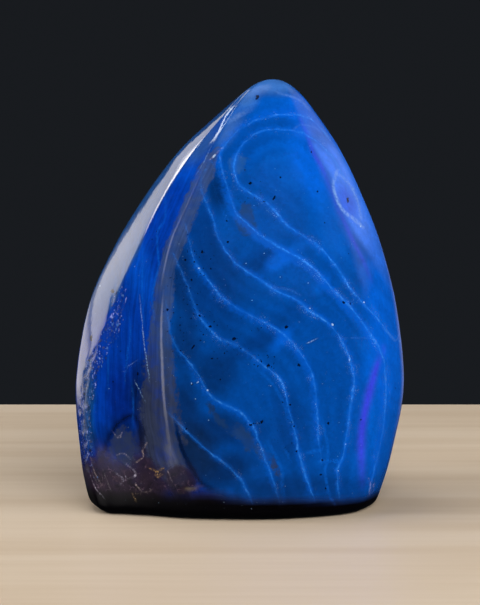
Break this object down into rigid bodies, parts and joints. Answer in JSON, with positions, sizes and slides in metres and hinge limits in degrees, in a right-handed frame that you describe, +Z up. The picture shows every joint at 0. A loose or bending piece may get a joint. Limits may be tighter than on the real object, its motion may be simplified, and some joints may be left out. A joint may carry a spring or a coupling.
{
  "type": "blue amber specimen",
  "caption": "Freestanding polished blue amber: one leaning flame-shaped stone with a broad banded front, a long side bevel and a flat sawn base.",
  "frame": {"origin": "middle of the flat base, at the centre of the stone's own box", "axes": "+Z up from the base to the tip, the broad banded front faces -Y, the long bevel is on the -X side"},
  "size_m": [0.0864, 0.0568, 0.11],
  "materials": {
    "blue_amber": "polished, deep blue with paler growth lines"
  },
  "bodies": {
    "root": {"amber_stone": "blue_amber"}
  },
  "joints": []
}
